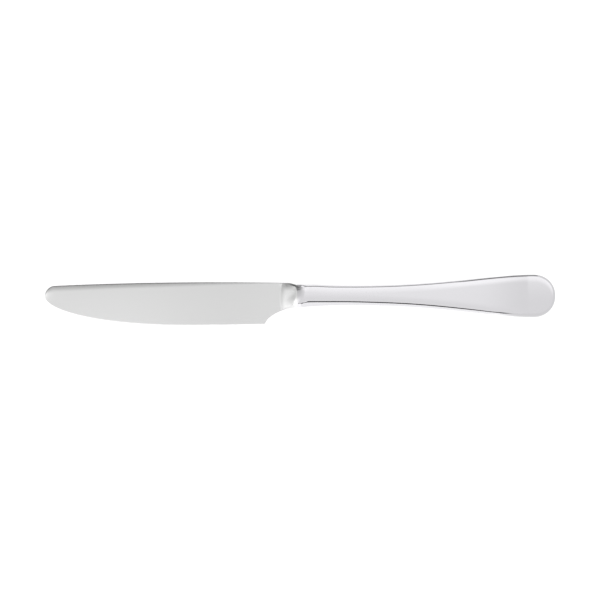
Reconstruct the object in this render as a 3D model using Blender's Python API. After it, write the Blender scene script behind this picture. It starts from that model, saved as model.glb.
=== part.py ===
"""Dessert knife: a forged steel blade cemented into a hollow steel handle. Metres, +Z up.

The knife lies on its side as on a table. +X runs from the tip of the blade to the end of the handle,
the cutting edge faces -Y, and the lower face of the handle lies on z = 0.

Every piece is shaped in the knife's own axes, under one empty: x = 0 is the mouth of the handle, y = 0
is the axis of the handle and z = 0 is the middle plane of the blade. The empty then lays the knife down.
"""

import math

import bmesh
import bpy
from mathutils import Vector
from mathutils.geometry import interpolate_bezier

# Handle, seen from above
HANDLE_LENGTH = 0.1058
MOUTH_WIDTH = 0.0102
WAIST_WIDTH = 0.0081
WAIST_DISTANCE = 0.0230  # from the mouth to the narrowest place
TAIL_WIDTH = 0.0175
TAIL_ROUND = 0.0090  # length of the rounded end, behind the widest place
TAIL_SQUARENESS = 2.1  # 2 is an ellipse, and more is a fuller end

# Handle, seen from the side
MOUTH_THICKNESS = 0.0080
TAIL_THICKNESS = 0.0050
NECK_DIP = 0.0010  # how far each face drops behind the bolster's crest
NECK_FALL = 0.0030  # length of that drop
NECK_LENGTH = 0.0550  # from the crest to where the faces have run back to a straight taper
NECK_EASING = 1.5  # 1 would run the drop out in a straight line

# Crisp edge between each face and the bulging sides of the handle
RIM_MOUTH = 0.0008  # how far the edge lies inside the handle's outline at the mouth
RIM_WAIST = 0.0009
RIM_TAIL = 0.00055
RIM_FLARE = 0.0045  # behind the crest, where the edge draws in from the bolster
MOUTH_CROWN = 0.0010  # how far the face falls from its flat middle to the edge at the crest
FACE_CROWN = 0.0003  # the same along the rest of the handle
CROWN_FALL = 0.0020  # behind the crest, where one changes to the other

# Handle walls and joints
WALL = 0.0008
SEAM_HEIGHT = 0.0006  # height of the weld between the two shells
BRAZE_THICKNESS = 0.0004
JOINT_GAP = 0.00005  # between the welded and brazed faces

# Blade, seen from above
BLADE_LENGTH = 0.1042  # from the mouth of the handle to the tip
NOSE_LENGTH = 0.0040  # rounded upper corner of the tip
TIP_DROP = 0.0005  # from the handle's axis down to the tip
SPINE_RISE = 0.00035  # crown of the spine above the handle's mouth
SPINE_CROWN_DISTANCE = 0.0310
BELLY_DEPTH = 0.0125  # from the handle's axis to the lowest point of the edge
BELLY_LENGTH = 0.0550  # from the tip to that point
HEEL_RISE = 0.0006  # how far the edge rises from there to the heel
HEEL_DISTANCE = 0.0136  # from the mouth of the handle to the heel

# Blade, bolster and tang, seen from the side
SPINE_THICKNESS = 0.0024  # at the bolster
TIP_THICKNESS = 0.0013
EDGE_THICKNESS = 0.0003
EDGE_ROUND = 0.0002
SPINE_ROUND = 0.0009
SCOOP_LENGTH = 0.0080  # from the mouth to where the bolster's scoop runs out on the blade
CREST_SETBACK = 0.0008  # from the mouth to the crest between scoop and handle
TANG_LENGTH = 0.0480
TANG_OVERLAP = 0.0020  # how far the bar of the tang runs into the bolster
TANG_TAPER = 0.7  # width and thickness at the tang's end, as a share of its root
TANG_EDGE = 0.0004  # width of the tang's bevelled edges

# Cement
CEMENT_COVER = 0.0160  # cement behind the tang's end
CEMENT_WALL = 0.0007  # cement round the tang at the waist
FIT_GAP = 0.0003  # between the cement and the steel

# Pulls of the curves in the outline, as shares of the run and the rise of each curve
NECK_MOUTH_PULL = (0.18, 0.42)
NECK_WAIST_PULL = 0.48
FLANK_WAIST_PULL = 0.52
FLANK_TAIL_PULL = 0.24
CHOIL_HEEL_PULL = (0.06, 0.42)
CHOIL_MOUTH_PULL = (0.50, 0.04)
SIDE_PULL = 0.38  # how upright a side starts at the seam, as a share of the edge's height
LAND = 0.6  # flat middle of a face, as a share of its width between the edges
ROUND_LIMIT = 0.8  # largest share of a half width that a rounded side may take

# Smoothness of the curved faces
SIDE_STEPS = 6  # from the seam to the edge of a face
NECK_STEPS = 16  # mouth to waist
FLANK_STEPS = 13  # waist to tail
TAIL_STEPS = 9  # half of the rounded end
NOSE_STEPS = 7
BELLY_STEPS = 18
EDGE_STEPS = 4
CHOIL_STEPS = 12
SCOOP_STEPS = 12
FACE_STEPS = 2  # from the edge of a face to its flat middle
CEMENT_STEPS = 16
NOSE_START = math.radians(10)  # where the rounded tip is closed
SMOOTH_ANGLE = math.radians(32)
MERGE_DISTANCE = 1e-7  # points of a loop that fall together

# Places that follow from the sizes above
TAIL_CENTRE = HANDLE_LENGTH - TAIL_ROUND
SEAM_HALF = SEAM_HEIGHT / 2
SHOULDER = -(BRAZE_THICKNESS + 2 * JOINT_GAP)
TIP = -BLADE_LENGTH
HEEL = -HEEL_DISTANCE
BELLY = TIP + BELLY_LENGTH
HEEL_DEPTH = BELLY_DEPTH - HEEL_RISE
FACE_SLOPE = (MOUTH_THICKNESS - TAIL_THICKNESS) / 2 / HANDLE_LENGTH


def principled(name, colour, roughness, metallic):
    made = bpy.data.materials.new(name)
    made.use_nodes = True
    shader = made.node_tree.nodes["Principled BSDF"]
    shader.inputs["Base Color"].default_value = (*colour, 1.0)
    shader.inputs["Roughness"].default_value = roughness
    shader.inputs["Metallic"].default_value = metallic
    made.diffuse_color = (*colour, 1.0)
    return made


def mix(start, end, share):
    return start + (end - start) * share


def steps(start, end, count):
    """count + 1 even values from start to end."""
    return [mix(start, end, i / count) for i in range(count + 1)]


def clamp(share):
    return min(max(share, 0.0), 1.0)


def ease(share):
    """A smooth way from 0 to 1."""
    share = clamp(share)
    return share * share * (3 - 2 * share)


def loft(name, sections, material=None, wrap=False, cap_start=True, cap_end=True):
    """One object skinned over closed loops of points that all have the same number of points."""
    bm = bmesh.new()
    loops = [[bm.verts.new(point) for point in section] for section in sections]
    count = len(loops[0])
    for first, second in zip(loops, loops[1:] + loops[:1] if wrap else loops[1:]):
        for i in range(count):
            j = (i + 1) % count
            bm.faces.new((first[i], first[j], second[j], second[i]))
    if cap_start and not wrap:
        bm.faces.new(reversed(loops[0]))
    if cap_end and not wrap:
        bm.faces.new(loops[-1])
    bmesh.ops.remove_doubles(bm, verts=bm.verts, dist=MERGE_DISTANCE)
    bmesh.ops.recalc_face_normals(bm, faces=bm.faces)
    return finished(name, bm, material)


def finished(name, bm, material=None):
    """The object made of a bmesh. One with no material is a helper, which is not part of the knife."""
    mesh = bpy.data.meshes.new(name)
    bm.to_mesh(mesh)
    bm.free()
    mesh.shade_smooth()
    mesh.set_sharp_from_angle(angle=SMOOTH_ANGLE)
    piece = bpy.data.objects.new(name, mesh)
    bpy.context.collection.objects.link(piece)
    if material:
        mesh.materials.append(material)
    else:
        piece.hide_render = True
        piece.display_type = "WIRE"
    return piece


def boolean(piece, operation, other):
    made = piece.modifiers.new(operation.lower(), "BOOLEAN")
    made.operation = operation
    made.object = other


# Shape of the handle


def handle_half_thickness(x):
    """The faces taper to the tail, with a drop behind the bolster's crest that runs out along the handle."""
    behind = x + CREST_SETBACK
    fall = clamp(behind / NECK_FALL)
    hollow = NECK_DIP * (3 * fall - fall**3) / 2 * (1 - clamp(behind / NECK_LENGTH)) ** NECK_EASING
    return MOUTH_THICKNESS / 2 - FACE_SLOPE * x - hollow


def handle_stations():
    """(x, half width) from the mouth past the waist to the widest place of the tail."""
    mouth = Vector((0, MOUTH_WIDTH / 2))
    waist = Vector((WAIST_DISTANCE, WAIST_WIDTH / 2))
    tail = Vector((TAIL_CENTRE, TAIL_WIDTH / 2))
    neck_run = waist - mouth
    mouth_pull = neck_run * Vector(NECK_MOUTH_PULL)
    waist_pull = Vector((NECK_WAIST_PULL * neck_run.x, 0))
    neck = interpolate_bezier(mouth, mouth + mouth_pull, waist - waist_pull, waist, NECK_STEPS + 1)
    flank_run = tail - waist
    waist_pull = Vector((FLANK_WAIST_PULL * flank_run.x, 0))
    tail_pull = Vector((FLANK_TAIL_PULL * flank_run.x, 0))
    flank = interpolate_bezier(waist, waist + waist_pull, tail - tail_pull, tail, FLANK_STEPS + 1)
    return [tuple(point) for point in neck + flank[1:]]


def rim_width(x, half_width):
    """How far the crisp edge of the face lies inside the outline."""
    flank = (half_width - WAIST_WIDTH / 2) / ((TAIL_WIDTH - WAIST_WIDTH) / 2)
    if x > WAIST_DISTANCE:
        return mix(RIM_WAIST, RIM_TAIL, flank)
    straight_edge = WAIST_WIDTH / 2 - RIM_WAIST
    edge = mix(MOUTH_WIDTH / 2 - RIM_MOUTH, straight_edge, ease((x + CREST_SETBACK) / RIM_FLARE))
    return half_width - edge


def edge_share(x):
    """Height of the crisp edge, as a share of the face's height."""
    crown = mix(MOUTH_CROWN, FACE_CROWN, ease((x + CREST_SETBACK) / CROWN_FALL))
    return 1 - crown / handle_half_thickness(x)


def side_profile(reach, edge, height, pull):
    """(distance from the axis, height share) up a bulging side to the face's edge and on to its land."""
    foot, bulge, rim = Vector((reach, 0)), Vector((reach, pull * height)), Vector((edge, height))
    points = []
    for t in steps(0, 1, SIDE_STEPS):
        points.append(foot * (1 - t) ** 2 + bulge * 2 * t * (1 - t) + rim * t**2)
    for t in steps(1, LAND, FACE_STEPS)[1:]:
        fall = ((t - LAND) / (1 - LAND)) ** 2
        points.append(Vector((edge * t, 1 - (1 - height) * fall)))
    return points


def handle_side(x, half_width, rim, inset):
    """One side of the handle's outer skin, or of a skin inside it with a narrower rim."""
    reach = half_width - inset
    edge = reach - rim**2 / (rim + inset)
    return side_profile(reach, edge, edge_share(x), SIDE_PULL)


def face_point(x, y, share, inset):
    """A point on the upper half of the handle, a share of the way from the seam to the face."""
    return Vector((x, y, mix(SEAM_HALF, handle_half_thickness(x) - inset, share)))


def half_row(x, half_width, inset):
    """Points across the upper half of the handle, from the -Y seam over the face to the +Y seam."""
    profile = handle_side(x, half_width, rim_width(x, half_width), inset)
    return mirrored_row([face_point(x, reach, share, inset) for reach, share in profile])


def half_rows(inset):
    rows = [half_row(x, half_width, inset) for x, half_width in handle_stations()]
    long_side = handle_side(TAIL_CENTRE, TAIL_ROUND, RIM_TAIL, inset)
    wide_side = handle_side(TAIL_CENTRE, TAIL_WIDTH / 2, RIM_TAIL, inset)
    for angle in steps(0, math.pi / 2, TAIL_STEPS)[1:]:
        back = math.sin(angle) ** (2 / TAIL_SQUARENESS)
        out = max(math.cos(angle), 0.0) ** (2 / TAIL_SQUARENESS)
        side = []
        for (long_reach, share), (wide_reach, _) in zip(long_side, wide_side):
            side.append(face_point(TAIL_CENTRE + long_reach * back, wide_reach * out, share, inset))
        rows.append(mirrored_row(side))
    return rows


def mirrored_row(side):
    opposite = [Vector((point.x, -point.y, point.z)) for point in side]
    return opposite + side[::-1]


def turned_over(points):
    return [Vector((point.x, point.y, -point.z)) for point in points]


def handle_shell(name, material, lower=False):
    """A pressed half shell: an outer and an inner skin, joined at the seam and at the mouth."""
    loops = []
    for outer, inner in zip(half_rows(0), half_rows(WALL)):
        loop = outer + inner[::-1]
        loops.append(turned_over(loop) if lower else loop)
    return loft(name, loops, material, cap_end=False)


def seam_weld(material):
    """The bead between the rims of the two shells, round the edge of the handle from mouth to mouth."""
    half_height = SEAM_HALF - JOINT_GAP
    rims = list(zip(half_rows(0), half_rows(WALL)))
    pairs = [(outer[0], inner[0]) for outer, inner in rims]
    pairs += [(outer[-1], inner[-1]) for outer, inner in reversed(rims[:-1])]
    loops = []
    for outer, inner in pairs:
        loops.append(
            [
                Vector((outer.x, outer.y, -half_height)),
                Vector((outer.x, outer.y, half_height)),
                Vector((inner.x, inner.y, half_height)),
                Vector((inner.x, inner.y, -half_height)),
            ]
        )
    return loft("seam_weld", loops, material)


def mouth_braze(material):
    """The ring between the bolster's shoulder and the front rims of the shells."""
    back = -JOINT_GAP
    front = back - BRAZE_THICKNESS
    rings = []
    for x, inset in ((front, 0), (back, 0), (back, WALL), (front, WALL)):
        row = half_row(x, MOUTH_WIDTH / 2, inset)
        rings.append(row + turned_over(row)[::-1])
    loops = [list(corners) for corners in zip(*rings)]
    return loft("mouth_braze", loops, material, wrap=True)


# Shape of the blade


def spine_height(x):
    """A flat arch from the handle's mouth over the crown, rounded off at the tip."""
    from_crown = (x + SPINE_CROWN_DISTANCE) / SPINE_CROWN_DISTANCE
    arch = MOUTH_WIDTH / 2 + SPINE_RISE * (1 - from_crown**2)
    into_nose = clamp((TIP + NOSE_LENGTH - x) / NOSE_LENGTH)
    return mix(-TIP_DROP, arch, math.sqrt(1 - into_nose**2))


def edge_height(x):
    """An elliptical belly from the tip, then a slow rise to the heel."""
    if x < BELLY:
        return mix(-TIP_DROP, -BELLY_DEPTH, math.sqrt(max(1 - ((BELLY - x) / BELLY_LENGTH) ** 2, 0.0)))
    return -BELLY_DEPTH + HEEL_RISE * ((x - BELLY) / (HEEL - BELLY)) ** 2


def choil():
    """(x, y) points of the hollow curve from the heel to the lower side of the bolster."""
    heel = Vector((HEEL, -HEEL_DEPTH))
    mouth = Vector((0, -MOUTH_WIDTH / 2))
    run = mouth - heel
    heel_pull = run * Vector(CHOIL_HEEL_PULL)
    mouth_pull = run * Vector(CHOIL_MOUTH_PULL)
    return interpolate_bezier(heel, heel + heel_pull, mouth - mouth_pull, mouth, CHOIL_STEPS + 1)


def choil_height(x):
    points = choil()
    for first, second in zip(points, points[1:]):
        if x <= second.x:
            return mix(first.y, second.y, (x - first.x) / (second.x - first.x))
    return points[-1].y


def spine_half_thickness(x):
    return mix(TIP_THICKNESS, SPINE_THICKNESS, (x - TIP) / BLADE_LENGTH) / 2


def wedge_half_thickness(x, y):
    """The blade thins evenly from the spine to the edge, and past the heel as if the edge ran on."""
    low = edge_height(min(x, HEEL))
    share = (y - low) / (spine_height(x) - low)
    return mix(EDGE_THICKNESS / 2, spine_half_thickness(x), share)


def share_of_run(x, start, end):
    return clamp((x - start) / (end - start))


def scoop_share(x):
    """Height of the bolster's scoop: a round hollow from the blade's face (0) up to the crest (1)."""
    run = SCOOP_LENGTH - CREST_SETBACK
    rise = (MOUTH_THICKNESS - SPINE_THICKNESS) / 2
    radius = (run**2 + rise**2) / (2 * rise)
    along = run * share_of_run(x, -SCOOP_LENGTH, -CREST_SETBACK)
    return (radius - math.sqrt(radius**2 - along**2)) / rise


def scoop_floor(x, y):
    return mix(wedge_half_thickness(x, y), handle_half_thickness(x), scoop_share(x))


def along(points, place):
    """The point at a fractional index of a list of points."""
    index = min(int(place), len(points) - 2)
    return points[index].lerp(points[index + 1], place - index)


def scooped_side(x, uncut):
    """(y, z) points up a side of a slice to the crest that the scoop cuts, then in over its floor."""
    heights = [point.y - scoop_floor(x, point.x) for point in uncut]
    above = next(i for i, height in enumerate(heights) if height > -MERGE_DISTANCE)
    crest_place = above - 1 + heights[above - 1] / (heights[above - 1] - heights[above])
    side = [along(uncut, crest_place * i / SIDE_STEPS) for i in range(SIDE_STEPS + 1)]
    crest = side[-1].x
    floor = [Vector((crest * t, scoop_floor(x, crest * t))) for t in steps(1, LAND, FACE_STEPS)[1:]]
    return side + floor


def forging_section(x, low, high):
    """One slice of blade or bolster, with the bolster's scoop cut out of it on both faces."""
    share = share_of_run(x, -SCOOP_LENGTH, -CREST_SETBACK)
    height = mix(1, edge_share(x), share)
    pull = mix(1, SIDE_PULL, share)
    sides = []
    for reach, rounding in ((low, EDGE_ROUND), (high, SPINE_ROUND)):
        rim = min(mix(rounding, RIM_MOUTH, share), ROUND_LIMIT * abs(reach))
        uncut = []
        for distance, side in side_profile(abs(reach), abs(reach) - rim, height, pull):
            y = math.copysign(distance, reach)
            thickness = mix(wedge_half_thickness(x, y), handle_half_thickness(x), share)
            uncut.append(Vector((y, thickness * side)))
        sides.append(scooped_side(x, uncut))
    edge_side, spine_side = sides
    upper = [Vector((x, y, z)) for y, z in edge_side + spine_side[::-1]]
    return upper + turned_over(upper[1:-1])[::-1]


def forging_stations():
    """(x, lowest y, highest y) from the tip to the shoulder that meets the handle."""
    stations = []
    for angle in steps(NOSE_START, math.pi / 2, NOSE_STEPS):
        x = TIP + NOSE_LENGTH * (1 - math.cos(angle))
        stations.append((x, edge_height(x), spine_height(x)))
    for x in steps(TIP + NOSE_LENGTH, BELLY, BELLY_STEPS)[1:]:
        stations.append((x, edge_height(x), spine_height(x)))
    for x in steps(BELLY, HEEL, EDGE_STEPS)[1:]:
        stations.append((x, edge_height(x), spine_height(x)))
    free_choil = [point.x for point in choil() if HEEL < point.x < -SCOOP_LENGTH]
    for x in free_choil + steps(-SCOOP_LENGTH, -CREST_SETBACK, SCOOP_STEPS) + [SHOULDER]:
        stations.append((x, choil_height(x), spine_height(x)))
    return stations


def forging():
    """Blade and bolster, with the tip closed at the blade's full length."""
    sections = [forging_section(*station) for station in forging_stations()]
    sections[0] = [Vector((TIP, point.y, point.z)) for point in sections[0]]
    return sections


def tang_root():
    """(width, thickness) of the tang, which leaves room for cement where the handle is narrowest."""
    around = 2 * (WALL + FIT_GAP + CEMENT_WALL + FIT_GAP)
    return WAIST_WIDTH - around, 2 * handle_half_thickness(TANG_LENGTH) - around


def tang_bar(name, start, end, extra):
    """The tang's tapered bar with bevelled edges, swollen all round by extra."""
    width, thickness = tang_root()
    sections = []
    for x in (start, end):
        share = mix(1, TANG_TAPER, max(x, 0) / TANG_LENGTH)
        half_width = width * share / 2 + extra
        half_thickness = thickness * share / 2 + extra
        quarter = [(half_width, half_thickness - TANG_EDGE), (half_width - TANG_EDGE, half_thickness)]
        top = quarter + [(-y, z) for y, z in reversed(quarter)]
        loop = top + [(-y, -z) for y, z in top]
        sections.append([Vector((x, y, z)) for y, z in loop])
    return loft(name, sections)


def blade(material):
    """Blade, bolster and tang are one forging."""
    piece = loft("blade", forging(), material)
    tang = tang_bar("tang_bar", -TANG_OVERLAP, TANG_LENGTH, 0)
    boolean(piece, "UNION", tang)
    return piece, [tang]


def handle_cement(material):
    """Cement round the tang. Its pocket is the tang's own shape with a gap."""
    inset = WALL + FIT_GAP
    start, end = FIT_GAP, TANG_LENGTH + CEMENT_COVER
    stations = handle_stations()
    sections = []
    for x in steps(start, end, CEMENT_STEPS):
        upper = half_row(x, width_at(stations, x), inset)
        sections.append(upper + turned_over(upper)[::-1])
    piece = loft("handle_cement", sections, material)
    pocket = tang_bar("tang_pocket", SHOULDER, TANG_LENGTH + FIT_GAP, FIT_GAP)
    boolean(piece, "DIFFERENCE", pocket)
    return piece, [pocket]


def width_at(stations, x):
    for (x0, w0), (x1, w1) in zip(stations, stations[1:]):
        if x <= x1:
            return mix(w0, w1, (x - x0) / (x1 - x0))
    return stations[-1][1]


# The whole knife


def lay_down(rest, pieces):
    """Turns the knife on to the lower face of its handle, with the middle of its base at the origin."""
    rest.rotation_euler.y = math.atan(FACE_SLOPE)
    bpy.context.view_layer.update()
    graph = bpy.context.evaluated_depsgraph_get()
    points = []
    for piece in pieces:
        shape = piece.evaluated_get(graph)
        points += [shape.matrix_world @ vertex.co for vertex in shape.to_mesh().vertices]
    low = Vector([min(point[axis] for point in points) for axis in range(3)])
    high = Vector([max(point[axis] for point in points) for axis in range(3)])
    rest.location = -Vector(((low.x + high.x) / 2, (low.y + high.y) / 2, low.z))


def main():
    for old in list(bpy.data.objects):
        bpy.data.objects.remove(old)
    satin_steel = principled("satin_blade_steel", (0.62, 0.62, 0.61), 0.32, 1.0)
    polished_steel = principled("polished_handle_steel", (0.72, 0.72, 0.72), 0.10, 1.0)
    under_steel = principled("polished_under_steel", (0.70, 0.70, 0.70), 0.12, 1.0)
    weld_steel = principled("ground_weld_steel", (0.66, 0.66, 0.66), 0.18, 1.0)
    braze_metal = principled("silver_braze", (0.70, 0.69, 0.65), 0.20, 1.0)
    cement_grey = principled("handle_cement_grey", (0.42, 0.40, 0.37), 0.90, 0.0)

    knife_blade, blade_helpers = blade(satin_steel)
    cement, cement_helpers = handle_cement(cement_grey)
    pieces = [
        knife_blade,
        handle_shell("handle_upper_shell", polished_steel),
        handle_shell("handle_lower_shell", under_steel, lower=True),
        seam_weld(weld_steel),
        mouth_braze(braze_metal),
        cement,
    ]
    rest = bpy.data.objects.new("knife_at_rest", None)
    bpy.context.collection.objects.link(rest)
    for piece in pieces + blade_helpers + cement_helpers:
        piece.parent = rest
    lay_down(rest, pieces)


main()
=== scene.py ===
# %% [markdown]
# # A steel dessert knife on a light table
#
# This lesson dresses a table knife. The knife is all steel: a forged blade with its bolster, set into a
# hollow handle that was pressed in two halves, welded round the seam and polished. The sizes are settled
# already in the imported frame, so the work here is to give each piece a fine surface and a true finish.

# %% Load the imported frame
import math

import bpy
from mathutils import Matrix, Vector
from mathutils.geometry import interpolate_bezier


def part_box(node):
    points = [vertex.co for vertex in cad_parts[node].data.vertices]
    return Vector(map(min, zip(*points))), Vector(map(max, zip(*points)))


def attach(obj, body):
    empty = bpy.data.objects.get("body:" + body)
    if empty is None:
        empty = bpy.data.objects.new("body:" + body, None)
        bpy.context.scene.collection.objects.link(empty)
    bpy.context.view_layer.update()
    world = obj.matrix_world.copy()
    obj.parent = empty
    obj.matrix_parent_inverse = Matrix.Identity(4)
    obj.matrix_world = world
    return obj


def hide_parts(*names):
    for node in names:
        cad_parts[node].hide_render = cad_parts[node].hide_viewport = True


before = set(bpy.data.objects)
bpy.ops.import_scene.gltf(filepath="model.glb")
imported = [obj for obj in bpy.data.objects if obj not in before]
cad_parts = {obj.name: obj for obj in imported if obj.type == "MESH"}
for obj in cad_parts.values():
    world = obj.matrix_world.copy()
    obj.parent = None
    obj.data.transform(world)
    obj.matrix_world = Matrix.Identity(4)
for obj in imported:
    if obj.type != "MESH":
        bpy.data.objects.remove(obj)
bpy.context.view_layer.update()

# %% [markdown]
# ## The knife's own axes
#
# A knife is easiest to shape in its own axes: x runs back from the mouth of the handle, y runs up to the
# spine, and z = 0 is the middle plane of the blade. The handle gets thinner to its tail, so a knife that
# lies on a table is tipped by that taper. The ring of braze at the mouth tells where the frame has put it.

# %% The way that the knife lies, with sizes in metres
HANDLE_LENGTH = 0.1058
MOUTH_THICKNESS = 0.0080
TAIL_THICKNESS = 0.0050
FACE_SLOPE = (MOUTH_THICKNESS - TAIL_THICKNESS) / 2 / HANDLE_LENGTH
SHOULDER = -0.0005

braze_low, braze_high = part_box("mouth_braze")
tip_over = Matrix.Rotation(math.atan(FACE_SLOPE), 4, "Y")
mouth = (braze_low + braze_high) / 2 - tip_over @ Vector((SHOULDER / 2, 0, 0))
AT_REST = Matrix.Translation(mouth) @ tip_over
print("mouth of the handle in mm:", [round(1000 * place, 3) for place in mouth])

# %% [markdown]
# ## A sheet that is pressed to shape
#
# Each skin of the knife starts as a flat grid, like the steel blank that goes into a press, with as many
# rows and columns as the shape needs. Every row is then set to one cross-section. This could also be done
# with a cage and a subdivision surface, but mirror-polished steel shows the smallest dent, and sections
# from a formula leave none.


# %% Press a grid to shape
def choose(*pieces):
    """Selects these pieces alone, the first of them active."""
    bpy.ops.object.select_all(action="DESELECT")
    for piece in pieces:
        piece.select_set(True)
    bpy.context.view_layer.objects.active = pieces[0]


def pressed_sheet(name, rows):
    """A grid with a point for each place in the rows.

    Its outside is up where the rows follow each other to +X and the places of a row run to -Y.
    """
    bpy.ops.object.select_all(action="DESELECT")
    bpy.ops.mesh.primitive_grid_add(
        x_subdivisions=len(rows[0]) - 1, y_subdivisions=len(rows) - 1, size=1
    )
    sheet = bpy.context.active_object
    sheet.name = name
    places = [place for row in rows for place in row]
    for point, place in zip(sheet.data.vertices, places, strict=True):
        point.co = place
    return sheet


# %% Close a skin, turn it over and give it a wall
MERGE = 1e-6


def close_seams(piece):
    """Merges points that lie on each other, as where rows meet in one place."""
    choose(piece)
    bpy.ops.object.mode_set(mode="EDIT")
    bpy.ops.mesh.select_all(action="SELECT")
    bpy.ops.mesh.remove_doubles(threshold=MERGE)
    bpy.ops.object.mode_set(mode="OBJECT")


def turn_over(piece):
    """Mirrors a skin through the blade's middle plane, with its outside still out."""
    choose(piece)
    bpy.ops.object.mode_set(mode="EDIT")
    bpy.ops.mesh.select_all(action="SELECT")
    bpy.ops.transform.resize(value=(1, 1, -1), center_override=(0, 0, 0))
    bpy.ops.mesh.flip_normals()
    bpy.ops.object.mode_set(mode="OBJECT")


def select_open_edges():
    """Leaves edit mode on, with the edges of the active piece's holes selected."""
    bpy.ops.object.mode_set(mode="EDIT")
    bpy.ops.mesh.select_all(action="DESELECT")
    bpy.ops.mesh.select_mode(type="EDGE")
    bpy.ops.mesh.select_non_manifold()


def walled(name, outer_rows, inner_rows):
    """An outer and an inner skin, joined by a wall all round their open edges."""
    outer = pressed_sheet(name, outer_rows)
    inner = pressed_sheet(name + "_inside", [row[::-1] for row in inner_rows])
    close_seams(outer)
    close_seams(inner)
    choose(outer, inner)
    bpy.ops.object.join()
    select_open_edges()
    bpy.ops.mesh.bridge_edge_loops()
    bpy.ops.object.mode_set(mode="OBJECT")
    return outer


# %% Lay a finished piece down
SMOOTH_ANGLE = math.radians(35)


def lay_down(piece, node, material):
    """Puts a finished piece where its CAD node lies, and gives it its finish."""
    choose(piece)
    piece.matrix_world = AT_REST
    bpy.ops.object.transform_apply(location=True, rotation=True, scale=True)
    bpy.ops.object.shade_smooth_by_angle(angle=SMOOTH_ANGLE)
    piece.data.materials.clear()
    piece.data.materials.append(material)
    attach(piece, "root")
    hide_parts(node)
    print(piece.name, "has", len(piece.data.polygons), "faces")


# %% [markdown]
# ## Finishes in metal
#
# Stainless steel has one colour and many finishes, and the finish is all in how finely it was ground. An
# image of scratches could show that, but it would need unwrapping. A noise that is drawn out along the
# grinding lines needs none: it varies the roughness a little, and raises a relief far below a millimetre.


# %% One function for colours and one for nodes
def linear(hex_colour):
    """An sRGB hex colour as linear light."""
    parts = [int(hex_colour[start : start + 2], 16) / 255 for start in (1, 3, 5)]
    light = [part / 12.92 if part <= 0.04045 else ((part + 0.055) / 1.055) ** 2.4 for part in parts]
    return light + [1.0]


def add_node(material, kind, settings=None, **links):
    """A node with its settings. A link goes from (node, output) to the named input."""
    made = material.node_tree.nodes.new(kind)
    for name, value in (settings or {}).items():
        if name in made.inputs:
            made.inputs[name].default_value = value
        else:
            setattr(made, name, value)
    for name, (source, output) in links.items():
        material.node_tree.links.new(source.outputs[output], made.inputs[name.replace("_", " ")])
    return made


# %% A finish and its fine pattern
MM = 0.001


def new_finish(name, colour, metallic, roughness):
    material = bpy.data.materials.new(name)
    material.use_nodes = True
    shader = material.node_tree.nodes["Principled BSDF"]
    shader.inputs["Base Color"].default_value = linear(colour)
    shader.inputs["Metallic"].default_value = metallic
    shader.inputs["Roughness"].default_value = roughness
    print("finish:", name)
    return material, shader


def patterned(material, shader, size_mm, stretch, low, high, bump):
    """Lets a fine noise vary the roughness from low to high, and the relief by bump in millimetres.

    stretch says how many times longer than size_mm the grains are along x, y and z.
    """
    spot = add_node(material, "ShaderNodeTexCoord")
    scaled = add_node(material, "ShaderNodeMapping", Vector=(spot, "Object"))
    scaled.inputs["Scale"].default_value = [1 / (size_mm * MM * share) for share in stretch]
    noise = add_node(
        material, "ShaderNodeTexNoise", {"Scale": 1.0, "Detail": 3.0}, Vector=(scaled, "Vector")
    )
    span = add_node(
        material, "ShaderNodeMapRange", {"To Min": low, "To Max": high}, Value=(noise, "Fac")
    )
    relief = add_node(
        material, "ShaderNodeBump", {"Strength": 1.0, "Distance": bump * MM}, Height=(noise, "Fac")
    )
    links = material.node_tree.links
    links.new(span.outputs["Result"], shader.inputs["Roughness"])
    links.new(relief.outputs["Normal"], shader.inputs["Normal"])
    return spot, span


# %% [markdown]
# ## Satin steel for the blade
#
# The blade is ground on a fine belt that runs across it, which leaves even lines and blurs what the steel
# mirrors. The bolster is buffed with the handle afterwards. Two materials would meet there in a hard line,
# so one material fades from satin to polish along the knife.

# %% Satin-ground knife steel
# An even grey sheen that is drawn out across the blade. Real belt lines are a few hundredths of a
# millimetre apart, too fine to show, so they are drawn a quarter of a millimetre apart.
satin_steel, satin_shader = new_finish("satin_ground_knife_steel", "#E2E2E2", 1.0, 0.25)
satin_spot, satin_span = patterned(
    satin_steel, satin_shader, size_mm=0.25, stretch=(1, 12, 12), low=0.21, high=0.29, bump=0.0001
)

# %% Polish on the bolster
POLISH_START = -0.0030
POLISH_END = -0.0010
POLISH_SHARE = 0.3

satin_split = add_node(satin_steel, "ShaderNodeSeparateXYZ", Vector=(satin_spot, "Object"))
polish = add_node(
    satin_steel,
    "ShaderNodeMapRange",
    {
        "From Min": mouth.x + POLISH_START,
        "From Max": mouth.x + POLISH_END,
        "To Min": 1.0,
        "To Max": POLISH_SHARE,
    },
    Value=(satin_split, "X"),
)
polished = add_node(satin_steel, "ShaderNodeMath", {"operation": "MULTIPLY"})
satin_links = satin_steel.node_tree.links
satin_links.new(satin_span.outputs["Result"], polished.inputs[0])
satin_links.new(polish.outputs["Result"], polished.inputs[1])
satin_links.new(polished.outputs[0], satin_shader.inputs["Roughness"])
print("polish at the crest: roughness times", POLISH_SHARE)

# %% [markdown]
# ## Polished steel for the handle, and what holds the knife together
#
# The handle is buffed on a mop with polishing paste until it mirrors the room. The mop leaves a faint
# waviness along the handle. The weld and the braze are buffed with it but are softer or harder than the
# shells, so each keeps a gloss of its own. The cement inside is a set paste, and isn't a metal.

# %% Mop-polished stainless steel
# A near mirror whose gloss wanders a little from place to place
mirror_steel, mirror_shader = new_finish("mop_polished_stainless_steel", "#DDDCDF", 1.0, 0.06)
patterned(mirror_steel, mirror_shader, size_mm=2.0, stretch=(6, 1, 1), low=0.04, high=0.10, bump=0.0002)

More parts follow.
